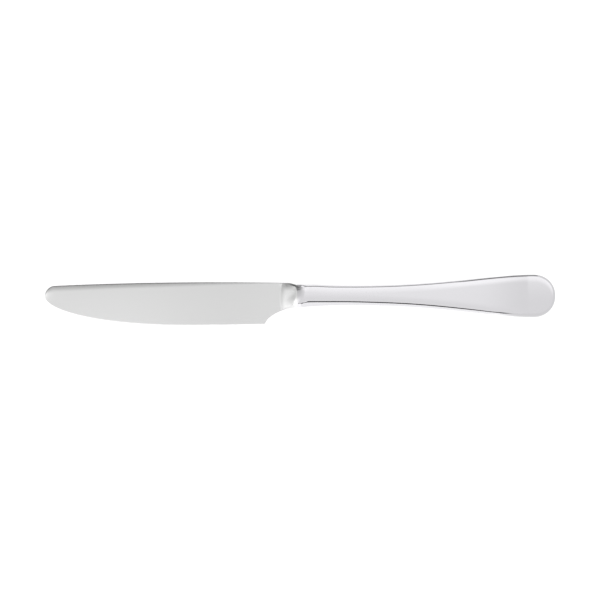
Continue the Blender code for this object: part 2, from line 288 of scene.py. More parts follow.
# %% Weld, braze and cement
# Ground weld: the same steel, a little duller, with short marks of the wheel along the seam
weld_steel, weld_shader = new_finish("ground_flush_weld_steel", "#D9D9D9", 1.0, 0.12)
patterned(weld_steel, weld_shader, size_mm=0.4, stretch=(8, 8, 1), low=0.09, high=0.18, bump=0.0001)

# Silver braze: a soft white metal that takes nearly the gloss of the handle
braze_metal, braze_shader = new_finish("polished_silver_braze", "#DDDCDE", 1.0, 0.08)
patterned(braze_metal, braze_shader, size_mm=0.5, stretch=(1, 1, 1), low=0.06, high=0.10, bump=0.0001)

# Handle cement: a grey set paste with sand in it, rough and dull
cement_paste, cement_shader = new_finish("set_handle_cement", "#8C8780", 0.0, 0.90)
patterned(cement_paste, cement_shader, size_mm=0.3, stretch=(1, 1, 1), low=0.80, high=0.98, bump=0.05)

# %% [markdown]
# ## The handle from above
#
# The handle draws in from the bolster to a waist and swells to a round tail. Two smooth curves give that
# line, each with a pull at both ends, as a bent steel rule has. An outline drawn point by point would show
# every small slip of the hand as a ripple in the polish.


# %% Small sums that every shape uses
def mix(start, end, share):
    return start + (end - start) * share


def clamp(share):
    return min(max(share, 0.0), 1.0)


def ease(share):
    """Goes from 0 to 1 with a soft start and a soft end."""
    share = clamp(share)
    return share * share * (3 - 2 * share)


print("a quarter of the way, eased:", ease(0.25))

# %% Outline of the handle
MOUTH_WIDTH = 0.0102
WAIST_WIDTH = 0.0081
WAIST_DISTANCE = 0.0230
TAIL_WIDTH = 0.0175
TAIL_ROUND = 0.0090
TAIL_CENTRE = HANDLE_LENGTH - TAIL_ROUND
NECK_MOUTH_PULL = (0.18, 0.42)
NECK_WAIST_PULL = 0.48
FLANK_WAIST_PULL = 0.50
FLANK_TAIL_PULL = 0.24
NECK_ROWS = 60
FLANK_ROWS = 70


def handle_stations():
    """(x, half width) from the mouth past the waist to the widest place of the tail."""
    mouth_corner = Vector((0, MOUTH_WIDTH / 2))
    waist = Vector((WAIST_DISTANCE, WAIST_WIDTH / 2))
    tail = Vector((TAIL_CENTRE, TAIL_WIDTH / 2))
    neck_run = waist - mouth_corner
    flank_run = tail - waist
    neck = interpolate_bezier(
        mouth_corner,
        mouth_corner + neck_run * Vector(NECK_MOUTH_PULL),
        waist - Vector((NECK_WAIST_PULL * neck_run.x, 0)),
        waist,
        NECK_ROWS + 1,
    )
    flank = interpolate_bezier(
        waist,
        waist + Vector((FLANK_WAIST_PULL * flank_run.x, 0)),
        tail - Vector((FLANK_TAIL_PULL * flank_run.x, 0)),
        tail,
        FLANK_ROWS + 1,
    )
    return neck + flank[1:]


stations = handle_stations()
print("handle outline:", len(stations), "stations from the mouth to the tail")

# %% [markdown]
# ## The crest and the neck behind it
#
# Where the bolster ends, a crest bows over the knife like a D. Behind it the faces sink into a shallow
# hollow, and the line of the spine dips a little. A sculpted dent would do for a matt handle. Here a
# formula with soft ends is used, since the hollow shows as one clean shadow in the polish.

# %% Crest of the bolster and the hollow behind it
CREST_SETBACK = 0.0008
CREST_BOW = 0.0016
CREST_TURN = 0.2
NECK_DIP = 0.0010
NECK_FALL = 0.0052
NECK_LENGTH = 0.0550
NECK_EASING = 1.5


def crest(across):
    """The crest's x, as a bow over the knife. across is -1 at the edge's side and 1 at the spine."""
    return -CREST_SETBACK - CREST_BOW * (across - CREST_TURN) ** 2


def half_thickness(x, across=0.0):
    """The faces taper straight to the tail, with a shallow hollow behind the bolster's crest."""
    behind = max(x - crest(across), 0.0)
    fall = clamp(behind / NECK_FALL)
    sunk = NECK_DIP * (1 - (1 - fall) ** 2) * (1 - clamp(behind / NECK_LENGTH)) ** NECK_EASING
    return MOUTH_THICKNESS / 2 - FACE_SLOPE * x - sunk


print("thickness at the waist in mm:", round(2000 * half_thickness(WAIST_DISTANCE), 2))

# %% Dip of the spine
SPINE_DIP = 0.00050
SPINE_DIP_BEFORE = 0.0045
SPINE_DIP_BEHIND = 0.0075


def spine_dip(x):
    """How far the spine's side dips where the bolster meets the handle."""
    sinking = ease((x + SPINE_DIP_BEFORE) / SPINE_DIP_BEFORE)
    return SPINE_DIP * sinking * (1 - ease(x / SPINE_DIP_BEHIND))


print("deepest dip of the spine in mm:", round(1000 * spine_dip(0), 2))

# %% [markdown]
# ## The crisp edge of the face
#
# The face of the handle is almost flat and ends in a crisp edge, and below that edge the side falls steeply
# to the seam. The edge catches the dark line along the handle. A bevel modifier gives one width all along,
# but on the knife the edge runs nearer to the outline in some places, so its distance is worked out here.

# %% Distance of the edge from the outline
RIM_MOUTH = 0.0008
RIM_WAIST = 0.0009
RIM_TAIL = 0.0004
RIM_FLARE = 0.0054
SPINE_RIM_LIFT = 0.0004
SPINE_RIM_RISE = 0.0025
SPINE_RIM_FADE = (0.0030, 0.0150)
RIM_SLIM = 0.00024
RIM_SLIM_RISE = (0.0160, 0.0360)
RIM_SLIM_FALL = (0.0780, 0.0900)


def past(x, span):
    """How far x has come from the start of a span, 0, to its end, 1."""
    start, end = span
    return ease((x - start) / (end - start))


def behind_crest(x, length):
    """How far x has come from the crest, 0, to a length behind it, 1."""
    return ease((x + CREST_SETBACK) / length)


def rim_width(x, half_width):
    """How far the crisp edge of the face lies inside the outline."""
    if x > WAIST_DISTANCE:
        widened = (2 * half_width - WAIST_WIDTH) / (TAIL_WIDTH - WAIST_WIDTH)
        return mix(RIM_WAIST, RIM_TAIL, widened)
    drawn_in = behind_crest(x, RIM_FLARE)
    return half_width - mix(MOUTH_WIDTH / 2 - RIM_MOUTH, WAIST_WIDTH / 2 - RIM_WAIST, drawn_in)


def spine_rim_width(x, half_width):
    """The same on the spine's side, where the edge draws in later than beside the cutting edge."""
    lift = behind_crest(x, SPINE_RIM_RISE) * (1 - past(x, SPINE_RIM_FADE))
    return rim_width(x, half_width) - SPINE_RIM_LIFT * lift


def edge_rim_width(x, half_width):
    """The same beside the cutting edge, where the edge runs nearer to the outline on the flank."""
    slimmed = past(x, RIM_SLIM_RISE) * (1 - past(x, RIM_SLIM_FALL))
    return rim_width(x, half_width) - RIM_SLIM * slimmed


print("edge inside the outline at the mouth in mm:", round(1000 * rim_width(0, MOUTH_WIDTH / 2), 2))

# %% [markdown]
# ## The section of the handle
#
# Each half of a section is drawn from the seam up the side, round a small fillet at the edge, and over the
# crowned face to the middle. Columns of points stand close together in the fillet and wide apart on the
# face, so the mesh is fine where the light turns fast and light where it doesn't.


# %% Steps, and a bend between them
def steps(start, end, count):
    """count + 1 even values from start to end."""
    return [mix(start, end, step / count) for step in range(count + 1)]


def bend(first, pull, last, t):
    """A place on the curve from first to last that is drawn towards pull."""
    return first * (1 - t) ** 2 + pull * 2 * t * (1 - t) + last * t**2


print("three steps from 0 to 1:", [round(step, 2) for step in steps(0, 1, 3)])

# %% Half of a section
SEAM_HALF = 0.0003
MOUTH_CROWN = 0.0010
CROWN_FALL = 0.0034
FACE_CROWN = 0.0003
CROWN_ZONE = 0.0031
SIDE_LEAN = math.radians(30)
MOUTH_FILLET = 0.00020
EDGE_FILLET = 0.00070
SIDE_COLUMNS = 12
FILLET_COLUMNS = 8
FACE_COLUMNS = 14


def side_pull(rim, height):
    """How upright a side starts at the seam, so that it leans in by the same angle at every edge."""
    return clamp(1 - rim / (math.tan(SIDE_LEAN) * height))


def crowned(y, edge):
    """How far a face has fallen from its flat middle, 0, to its edge, 1."""
    return clamp(1 - (edge - abs(y)) / CROWN_ZONE) ** 2


def handle_profile(x, half_width, rim, inset=0.0):
    """(distance from the axis, height) from the seam over the crisp edge to the middle of the face."""
    top = half_thickness(x) - inset
    crown = mix(MOUTH_CROWN, FACE_CROWN, behind_crest(x, CROWN_FALL))
    reach = half_width - inset
    edge = Vector((reach - rim**2 / (rim + inset), top - crown))
    foot = Vector((reach, SEAM_HALF))
    upright = side_pull(reach - edge.x, edge.y - SEAM_HALF)
    bulge = Vector((reach, mix(SEAM_HALF, edge.y, upright)))
    fillet = mix(MOUTH_FILLET, EDGE_FILLET, behind_crest(x, RIM_FLARE))
    fillet = min(fillet, (edge - bulge).length)
    side_end = 1 - fillet / (2 * (edge - bulge).length)
    face_start = 1 - fillet / edge.x

    def face_point(t):
        y = edge.x * t
        return Vector((y, top - crown * crowned(y, edge.x)))

    side = [bend(foot, bulge, edge, t) for t in steps(0, side_end, SIDE_COLUMNS)]
    turn = [bend(side[-1], edge, face_point(face_start), t) for t in steps(0, 1, FILLET_COLUMNS)]
    face = [face_point(t) for t in steps(face_start, 0, FACE_COLUMNS)]
    return side + turn[1:] + face[1:]


print("half a section:", len(handle_profile(0, MOUTH_WIDTH / 2, RIM_MOUTH)), "points")


# %% A whole row, from side to side
def both_sides(x, half_width, inset=0.0):
    """A row from the spine's side over the middle to the other side, with the hollow sunk in."""
    spine_side = handle_profile(x, half_width, spine_rim_width(x, half_width), inset)
    edge_side = handle_profile(x, half_width, edge_rim_width(x, half_width), inset)
    places = spine_side + [(-y, z) for y, z in reversed(edge_side[:-1])]
    half_width -= inset
    row = []
    for y, z in places:
        sunk = (half_thickness(x, y / half_width) - SEAM_HALF) / (half_thickness(x) - SEAM_HALF)
        lowered = y - max(y / half_width, 0.0) * spine_dip(x)
        row.append(Vector((x, lowered, SEAM_HALF + (z - SEAM_HALF) * sunk)))
    return row


print("a row of the handle:", len(both_sides(0, MOUTH_WIDTH / 2)), "points")

# %% Rows round the tail
TAIL_SQUARENESS = 2.1
TAIL_ROWS = 28


def tail_rows(inset):
    """Rows that swing from the widest place of the tail to the end of the handle."""
    wide = handle_profile(TAIL_CENTRE, TAIL_WIDTH / 2, RIM_TAIL, inset)
    last_rim = wide[SIDE_COLUMNS + FILLET_COLUMNS][0]
    rows = []
    for angle in steps(0, math.pi / 2, TAIL_ROWS)[1:]:
        back = max(math.sin(angle), 0.0) ** (2 / TAIL_SQUARENESS)
        out = max(math.cos(angle), 0.0) ** (2 / TAIL_SQUARENESS)
        half_row = []
        for y, z in wide:
            on_face = clamp(y / last_rim)
            long = mix(TAIL_ROUND / 2, TAIL_ROUND - TAIL_WIDTH / 2 + max(y, last_rim), on_face)
            x = TAIL_CENTRE + long * back
            thinning = (half_thickness(x) - SEAM_HALF) / (half_thickness(TAIL_CENTRE) - SEAM_HALF)
            half_row.append(Vector((x, y * out, SEAM_HALF + (z - SEAM_HALF) * thinning)))
        rows.append(half_row + [Vector((x, -y, z)) for x, y, z in reversed(half_row[:-1])])
    return rows


print("tail:", len(tail_rows(0.0)), "rows")

# %% [markdown]
# ## The two shells
#
# The handle is two pressed half shells of thin sheet. The solidify modifier could thicken a skin, but the
# wall would fold over itself at the small fillets. So the lining is pressed like the skin, from sections
# that lie one wall further in, and the two are bridged along the seam and the mouth.

# %% The upper and the lower shell
WALL = 0.0008


def handle_rows(inset=0.0):
    return [both_sides(x, half_width, inset) for x, half_width in stations] + tail_rows(inset)


skin = handle_rows()
lining = handle_rows(WALL)
print("handle skin:", len(skin), "rows of", len(skin[0]))

upper_shell = walled("polished_upper_shell", skin, lining)
lower_shell = walled("polished_lower_shell", skin, lining)
turn_over(lower_shell)
lay_down(upper_shell, "handle_upper_shell", mirror_steel)
lay_down(lower_shell, "handle_lower_shell", mirror_steel)

# %% [markdown]
# ## The weld and the braze
#
# The shells are joined by a weld all round the handle's edge, and the handle is joined to the bolster by a
# ring of braze. A bead could be swept along the seam, but both joints are ground flush, so they take their
# outer faces from the rows next to them: a ribbon along the seam, and a short sleeve at the mouth.

# %% Seam weld
WELD_COLUMNS = 4


def seam_ribbon(rows):
    """Rows across the seam, along one side of the handle and back along the other."""
    feet = [row[0] for row in rows] + [row[-1] for row in reversed(rows[:-1])]
    heights = steps(SEAM_HALF, -SEAM_HALF, WELD_COLUMNS)
    return [[Vector((foot.x, foot.y, z)) for z in heights] for foot in feet]


weld = walled("ground_seam_weld", seam_ribbon(skin)[::-1], seam_ribbon(lining)[::-1])
lay_down(weld, "seam_weld", weld_steel)

# %% Mouth braze
BRAZE_ROWS = 4


def sleeve(start, end, count):
    """Rows round the knife, each a closed ring over both faces at the handle's mouth."""
    rings = []
    for x in steps(start, end, count):
        over = both_sides(x, MOUTH_WIDTH / 2)
        under = [Vector((x, y, -z)) for x, y, z in reversed(over)]
        rings.append(over + under + over[:1])
    return rings


braze = pressed_sheet("polished_mouth_braze", sleeve(SHOULDER, 0, BRAZE_ROWS))
close_seams(braze)
wall = braze.modifiers.new("wall", "SOLIDIFY")
wall.thickness = WALL
wall.offset = -1
bpy.ops.object.modifier_apply(modifier=wall.name)
lay_down(braze, "mouth_braze", braze_metal)

# %% [markdown]
# ## The outline of the blade
#
# The blade is one forging with its bolster. Its spine is a flat arch, its belly is part of an ellipse, and
# the choil is the hollow curve that leads from the heel up to the bolster. Functions of x give all three,
# because each row of the skin then only has to ask for its lowest and its highest place.

# %% Spine and edge
BLADE_LENGTH = 0.1042
TIP = -BLADE_LENGTH
NOSE_LENGTH = 0.0040
TIP_DROP = 0.0005
SPINE_RISE = 0.00035
SPINE_CROWN_DISTANCE = 0.0310
BELLY_DEPTH = 0.0125
BELLY_LENGTH = 0.0550
BELLY = TIP + BELLY_LENGTH
HEEL_RISE = 0.0006
HEEL = -0.0136


def spine_height(x):
    """A flat arch from the handle's mouth over the crown, rounded off at the tip."""
    from_crown = (x + SPINE_CROWN_DISTANCE) / SPINE_CROWN_DISTANCE
    into_nose = clamp((TIP + NOSE_LENGTH - x) / NOSE_LENGTH)
    arch = MOUTH_WIDTH / 2 + SPINE_RISE * (1 - from_crown**2) - spine_dip(x)
    return mix(-TIP_DROP, arch, math.sqrt(1 - into_nose**2))


def edge_height(x):
    """An elliptical belly from the tip, then a slow rise to the heel."""
    if x < BELLY:
        deepened = math.sqrt(max(1 - ((BELLY - x) / BELLY_LENGTH) ** 2, 0.0))
        return mix(-TIP_DROP, -BELLY_DEPTH, deepened)
    return -BELLY_DEPTH + HEEL_RISE * ((x - BELLY) / (HEEL - BELLY)) ** 2


print("blade width in mm:", round(1000 * (spine_height(BELLY) - edge_height(BELLY)), 2))

# %% Choil
CHOIL_HEEL_PULL = (0.06, 0.42)
CHOIL_MOUTH_PULL = (0.50, 0.04)
CHOIL_ROWS = 36
CHOIL_FINENESS = 4

heel_corner = Vector((HEEL, edge_height(HEEL)))
bolster_corner = Vector((0, -MOUTH_WIDTH / 2))
choil_run = bolster_corner - heel_corner
choil = interpolate_bezier(
    heel_corner,
    heel_corner + choil_run * Vector(CHOIL_HEEL_PULL),
    bolster_corner - choil_run * Vector(CHOIL_MOUTH_PULL),
    bolster_corner,
    CHOIL_FINENESS * CHOIL_ROWS + 1,
)


def choil_height(x):
    for first, second in zip(choil, choil[1:]):
        if x <= second.x:
            return mix(first.y, second.y, (x - first.x) / (second.x - first.x))
    return choil[-1].y


def outline(x):
    """The lowest and the highest y at x."""
    return (edge_height(x) if x < HEEL else choil_height(x)), spine_height(x)


print("choil runs over", round(1000 * choil_run.x, 1), "mm")

# %% [markdown]
# ## The wedge and the scoop
#
# Across its width the blade is a flat wedge from spine to edge. A round scoop is ground across the bolster,
# and where it meets the bolster's curved sides it leaves the crest. It could be cut with a boolean, but a
# cut leaves long thin faces. Raising the rows along a curve gives the same scoop with an even mesh.

# %% Thickness of the blade
SPINE_THICKNESS = 0.0024
TIP_THICKNESS = 0.0013
EDGE_THICKNESS = 0.0003


def wedge(x, y):
    """Half the blade's thickness, which thins evenly from the spine to the edge."""
    low = edge_height(min(x, HEEL))
    spine_half = mix(TIP_THICKNESS, SPINE_THICKNESS, (x - TIP) / BLADE_LENGTH) / 2
    return mix(EDGE_THICKNESS / 2, spine_half, (y - low) / max(spine_height(x) - low, MERGE))


print("thickness in the middle of the blade in mm:", round(2000 * wedge(BELLY, 0), 2))

# %% Rise of the scoop
SCOOP_LENGTH = 0.0080
SCOOP_CURVE = 1.7
CREST_ROUND = 0.05


def scoop_share(along):
    """How far the scoop has risen from the blade to the crest, as if it ran on past the crest."""
    return along**SCOOP_CURVE


def soft_lower(first, second):
    """The lower of two shares, with the corner between them rounded."""
    overlap = max(CREST_ROUND - abs(first - second), 0.0) / CREST_ROUND
    return min(first, second) - overlap**2 * CREST_ROUND / 4


print("risen halfway along the scoop:", round(scoop_share(0.5), 2))

# %% [markdown]
# ## The section of the blade
#
# On the flat blade, the section is a wedge with a rounded spine and a thin edge. Along the scoop it swells
# to the section of the handle's mouth, so that the bolster and the handle meet without a step. One function
# gives both, with a share that says how far the swelling has come.

# %% A place of the section
EDGE_ROUND = 0.0002
SPINE_ROUND_TIP = 0.0029
SPINE_ROUND_HEEL = 0.0004
SPINE_ROUND_EASING = 2.2
ROUND_LIMIT = 0.8
SCOOP_CROWN = 0.33
SCOOP_CROWN_RUN = 0.22
LEAN_EASING = 4
MOUTH_EDGE = MOUTH_THICKNESS / 2 - MOUTH_CROWN
BLADE_SIDE_COLUMNS = 14
BLADE_FACE_COLUMNS = 44
LAST_COLUMN = 2 * BLADE_SIDE_COLUMNS + BLADE_FACE_COLUMNS


def section_place(x, column, swell):
    """(y, share of the full height) of one column. swell is 0 on the flat blade and 1 at the bolster."""
    low, high = outline(x)
    crown = mix(SCOOP_CROWN, 1 - MOUTH_EDGE / (MOUTH_THICKNESS / 2), swell)
    height = 1 - crown * ease(swell / SCOOP_CROWN_RUN)
    pull = mix(1, side_pull(RIM_MOUTH, MOUTH_EDGE), swell**LEAN_EASING)
    along_blade = clamp((x - TIP) / (BLADE_LENGTH - SCOOP_LENGTH))
    spine_round = mix(SPINE_ROUND_TIP, SPINE_ROUND_HEEL, along_blade**SPINE_ROUND_EASING)
    room = ROUND_LIMIT * (high - low) / 2
    top = high - min(mix(spine_round, RIM_MOUTH, swell), room)
    bottom = low + min(mix(EDGE_ROUND, RIM_MOUTH, swell), room)
    on_spine = column / BLADE_SIDE_COLUMNS
    on_edge = (LAST_COLUMN - column) / BLADE_SIDE_COLUMNS
    if on_spine <= 1:
        return tuple(bend(Vector((high, 0)), Vector((high, pull * height)), Vector((top, height)), on_spine))
    if on_edge <= 1:
        return tuple(bend(Vector((low, 0)), Vector((low, pull * height)), Vector((bottom, height)), on_edge))
    y = mix(top, bottom, (column - BLADE_SIDE_COLUMNS) / BLADE_FACE_COLUMNS)
    half = max(top if y > 0 else -bottom, MERGE)
    fallen = mix(min(abs(y) / half, 1) ** 2, crowned(y, half), swell)
    return y, 1 - (1 - height) * fallen


print("points across the blade:", LAST_COLUMN + 1)


# %% Rows of the bolster
def blade_place(x, column, along=0.0, across=0.0):
    """A point of the face. along is 0 before the scoop and 1 at the crest."""
    y, share = section_place(x, column, clamp(along))
    risen = soft_lower(scoop_share(along), 1)
    return Vector((x, y, share * mix(wedge(x, y), half_thickness(x, across), risen)))


def bolster_row(place_from_crest):
    """A row that bows with the crest. The function gives (x, along) for the crest's own x."""
    row = []
    for column in range(LAST_COLUMN + 1):
        across = section_place(SHOULDER, column, 1)[0] / (MOUTH_WIDTH / 2)
        x, along = place_from_crest(crest(across))
        row.append(blade_place(x, column, along, across))
    return row


def scoop_row(along):
    """A row of the scoop, from its start, 0, to the crest, 1."""
    return bolster_row(lambda top: (mix(-SCOOP_LENGTH, top, along), along))


def collar_row(behind):
    """A row of the collar, from the crest, 0, to the shoulder, 1. Rows are closest behind the crest."""

    def place_from_crest(top):
        return mix(top, SHOULDER, behind**2), 1 + (SHOULDER - top) * behind**2 / SCOOP_LENGTH

    return bolster_row(place_from_crest)


print("crest at the spine in mm:", round(1000 * crest(1), 2))

# %% [markdown]
# ## The forged skin
#
# The rows stand close together where the shape turns fast: at the nose, along the choil and near the crest.
# One face is pressed from them, and the mirror modifier makes the other, as both dies of a forge are alike.

# %% Rows from the tip to the shoulder
NOSE_ROWS = 30
BELLY_ROWS = 60
EDGE_ROWS = 34
SCOOP_ROWS = 40
SCOOP_CLOSE = 0.85
COLLAR_ROWS = 24

nose = [TIP + NOSE_LENGTH * (1 - math.cos(angle)) for angle in steps(0, math.pi / 2, NOSE_ROWS)[:-1]]
belly = steps(TIP + NOSE_LENGTH, BELLY, BELLY_ROWS)[:-1]
straight = steps(BELLY, HEEL, EDGE_ROWS)[:-1]
heel = [place.x for place in choil[::CHOIL_FINENESS] if place.x < -SCOOP_LENGTH]
columns = range(LAST_COLUMN + 1)
blade_rows = [[blade_place(x, column) for column in columns] for x in nose + belly + straight + heel]
for along in steps(0, SCOOP_CLOSE, SCOOP_ROWS) + steps(SCOOP_CLOSE, 1, SCOOP_ROWS)[1:]:
    blade_rows.append(scoop_row(along))
for behind in steps(0, 1, COLLAR_ROWS)[1:]:
    blade_rows.append(collar_row(behind))
print("blade skin:", len(blade_rows), "rows of", len(blade_rows[0]))

# %% Both faces, and the shoulder that closes them
blade = pressed_sheet("satin_blade", blade_rows)
close_seams(blade)
other_face = blade.modifiers.new("other_face", "MIRROR")
other_face.use_axis = (False, False, True)
other_face.merge_threshold = MERGE
bpy.ops.object.modifier_apply(modifier=other_face.name)

choose(blade)
select_open_edges()
bpy.ops.mesh.edge_face_add()
bpy.ops.object.mode_set(mode="OBJECT")
print("blade without its tang:", len(blade.data.polygons), "faces")

# %% [markdown]
# ## The tang
#
# Out of the shoulder grows the tang, a tapered bar that the cement grips inside the handle. It could be
# extruded from the shoulder, but that face has many corners and the tang has four. So it is a cube of its
# own, tapered, bevelled, and joined on with a boolean.

# %% Tang
TANG_LENGTH = 0.0480
TANG_OVERLAP = 0.0020
TANG_WIDTH = 0.0039
TANG_THICKNESS = 0.00236
TANG_TAPER = 0.7
TANG_EDGE = 0.0004

bpy.ops.object.select_all(action="DESELECT")
bpy.ops.mesh.primitive_cube_add(size=1, location=((TANG_LENGTH - TANG_OVERLAP) / 2, 0, 0))
tang = bpy.context.active_object
tang.scale = (TANG_LENGTH + TANG_OVERLAP, TANG_WIDTH, TANG_THICKNESS)
bpy.ops.object.transform_apply(location=True, rotation=True, scale=True)
for point in tang.data.vertices:
    if point.co.x > 0:
        point.co.y *= TANG_TAPER
        point.co.z *= TANG_TAPER
softened = tang.modifiers.new("edges", "BEVEL")
softened.width = TANG_EDGE
softened.segments = 2
bpy.ops.object.modifier_apply(modifier=softened.name)
print("tang:", len(tang.data.polygons), "faces")

# %% The blade with its tang
choose(blade)
joined = blade.modifiers.new("tang", "BOOLEAN")
joined.operation = "UNION"
joined.object = tang
bpy.ops.object.modifier_apply(modifier=joined.name)
bpy.data.objects.remove(tang)
lay_down(blade, "blade", satin_steel)

# %% [markdown]
# ## The cement
#
# The cement was poured into the handle and has the shape of the room that was left. Nobody sees it, and the
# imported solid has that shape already, so it keeps its mesh and only gets its finish.

# %% Cement
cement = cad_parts["handle_cement"]
cement.data.materials.clear()
cement.data.materials.append(cement_paste)
print("cement:", len(cement.data.polygons), "faces")

# %% [markdown]
# ## A light table
#
# Polished steel has no look of its own: it shows what stands round it. So the set matters as much as the
# finish. The knife lies on a table of opal glass that is lit from below, which leaves the floor white and
# takes away the shadow. A white floor under lamps would need far more light to lose it.

# %% Floor
FLOOR_SIDE = 20.0
FLOOR_GLOW = 0.80

bpy.ops.object.select_all(action="DESELECT")
bpy.ops.mesh.primitive_plane_add(size=FLOOR_SIDE)
floor = bpy.context.active_object
floor.name = "light_table"
table_top, table_shader = new_finish("opal_light_table", "#A8A8A8", 0.0, 0.9)
table_shader.inputs["Emission Color"].default_value = linear("#FFFFFF")
table_shader.inputs["Emission Strength"].default_value = FLOOR_GLOW
floor.data.materials.append(table_top)
print("the table glows at", FLOOR_GLOW)

# %% [markdown]
# ## Cards that only the steel sees
#
# A photographer surrounds polished metal with white, grey and black cards. Lamps could light the knife, but
# a lamp shows as a spot in a mirror, and a card shows as an even tone. The cards here glow by themselves
# and are hidden from the camera, so they show in the steel alone.


# %% An even card
def lying(left, right, front, back, height):
    """The corners of a level card."""
    return [(left, front, height), (right, front, height), (right, back, height), (left, back, height)]


def standing(start, end, low, high):
    """The corners of an upright card over a line from start to end on the table."""
    return [(*start, low), (*end, low), (*end, high), (*start, high)]


def card(name, corners, strength):
    """A flat card through four corners that glows evenly."""
    bpy.ops.object.select_all(action="DESELECT")
    bpy.ops.mesh.primitive_plane_add(size=1)
    made = bpy.context.active_object
    made.name = name
    # The corners run round the card, and the points of a plane run in two rows
    first, second, third, fourth = corners
    for point, corner in zip(made.data.vertices, (first, second, fourth, third)):
        point.co = corner
    paper, shader = new_finish(name + "_glow", "#000000", 0.0, 1.0)
    shader.inputs["Specular IOR Level"].default_value = 0.0
    shader.inputs["Emission Color"].default_value = linear("#FFFFFF")
    shader.inputs["Emission Strength"].default_value = strength
    made.data.materials.append(paper)
    made.visible_camera = False
    return made


# %% A card with patches
def fade_glow(piece, patches):
    """Lets a card's even glow fade to the strength of one patch after the other.

    A patch has a strength and spans. A span (start, end) along x or y says where the fade begins and where
    it is complete, and the spans of one patch limit each other.
    """
    material = piece.active_material
    links = material.node_tree.links
    shader = material.node_tree.nodes["Principled BSDF"]
    even = shader.inputs["Emission Strength"].default_value
    spot = add_node(material, "ShaderNodeTexCoord")
    split = add_node(material, "ShaderNodeSeparateXYZ", Vector=(spot, "Object"))
    glow = None
    for strength, spans in patches:
        mask = None
        for axis, (start, end) in spans.items():
            settings = {"interpolation_type": "SMOOTHSTEP", "From Min": start, "From Max": end}
            fade = add_node(material, "ShaderNodeMapRange", settings, Value=(split, axis[0].upper()))
            if mask is None:
                mask = fade
            else:
                both = add_node(material, "ShaderNodeMath", {"operation": "MULTIPLY"})
                links.new(mask.outputs[0], both.inputs[0])
                links.new(fade.outputs[0], both.inputs[1])
                mask = both
        blend = add_node(material, "ShaderNodeMix", {"A": even, "B": strength}, Factor=(mask, 0))
        if glow is not None:
            links.new(glow.outputs[0], blend.inputs["A"])
        glow = blend
    links.new(glow.outputs[0], shader.inputs["Emission Strength"])
    print(piece.name, "has", len(patches), "patches")


# %% [markdown]
# ## The canopy
#
# A broad soft canopy hangs half a metre above the table. Every face of the knife leans a little, so each
# looks at a part of the canopy of its own, and the tone of that part is the tone of that face. Many small
# cards would show their borders, so one canopy is brightened and dimmed in patches with soft borders.

# %% Canopy
CANOPY_HEIGHT = 0.50
CANOPY_REACH = 1.60
CANOPY_FRONT = -0.50
CANOPY_GLOW = 0.95

canopy = card(
    "canopy", lying(-CANOPY_REACH, CANOPY_REACH, CANOPY_FRONT, CANOPY_REACH, CANOPY_HEIGHT), CANOPY_GLOW
)

# %% Patches over the handle
HANDLE_PATCHES = [
    # A light band along the upper half of the face
    (1.26, {"y": (-0.04, 0.30), "x": (-0.06, 0.0)}),
    # The same band is lighter still on the flank, towards the tail
    (1.32, {"y": (0.08, 0.26), "y_far": (0.36, 0.29), "x": (0.075, 0.115), "x_right": (0.20, 0.15)}),
    # A shade less light beyond the tail
    (0.92, {"y": (0.25, 0.05), "x": (0.125, 0.15)}),
]
print(len(HANDLE_PATCHES), "patches over the handle")

# %% Patches over the blade
BLADE_PATCHES = [
    # The blade is a little darker next to the bolster
    (0.66, {"y": (0.40, 0.15), "x": (-0.07, -0.035), "x_right": (0.004, -0.012)}),
    # and lighter in its middle
    (1.26, {"x": (-0.04, -0.07), "x_left": (-0.14, -0.11)}),
    # The rounded spine and the top of the scoop look far back, into the dark
    (0.30, {"y": (0.0, 0.35), "x": (0.0, -0.06), "x_left": (-0.9, -0.35)}),
    (0.45, {"y": (-0.04, 0.28), "x": (-0.02, -0.06), "x_left": (-0.26, -0.18)}),
    # The light grows towards the cutting edge
    (1.50, {"y": (0.03, -0.12), "x": (-0.02, -0.05), "x_left": (-0.30, -0.18)}),
    # The tip and the start of the scoop are dimmer on the spine's side
    (0.62, {"x": (-0.12, -0.165), "x_left": (-0.36, -0.25), "y": (0.0, 0.06)}),
]
print(len(BLADE_PATCHES), "patches over the blade")

# %% Patches for the bolster, which looks far to both sides
SCOOP_PATCHES = [
    # The scoop's light stripe, and the darker stripe behind it
    (1.35, {"x": (-0.24, -0.48), "y": (0.27, -0.08)}),
    (0.76, {"x": (-0.68, -1.15), "y": (0.10, 0.36)}),
]
NECK_PATCHES = [
    # The shade on the neck, deepest in the hollow right behind the crest
    (0.75, {"x": (0.08, 0.16), "y": (0.18, 0.44)}),
    (0.32, {"x": (0.10, 0.33), "y": (-0.10, 0.36)}),
    # It fades out to a light neck on the side of the cutting edge
    (1.32, {"x": (0.13, 0.35), "y": (-0.05, -0.42)}),
    (1.32, {"x": (0.40, 0.75), "y": (0.25, -0.10)}),
    # and is darkest in the corner under the spine
    (0.15, {"x": (0.25, 0.50), "y": (0.15, 0.50)}),
    (0.45, {"x": (0.09, 0.15), "y": (0.36, 0.50)}),
]
fade_glow(canopy, HANDLE_PATCHES + BLADE_PATCHES + SCOOP_PATCHES + NECK_PATCHES)

# %% [markdown]
# ## Flags and wings
#
# A photographer calls a dark card a flag. Flags at the front and the back give the crisp edges of the handle
# their dark lines. A line painted on the steel would stay in its place from every side, and a mirrored one
# moves with the eye. Bright wings in front of the canopy lighten the sides below those edges.

# %% Black flags at the front
CARD_FOOT = 0.004
FLAG_FRONT = -1.0
BLACK = 0.03

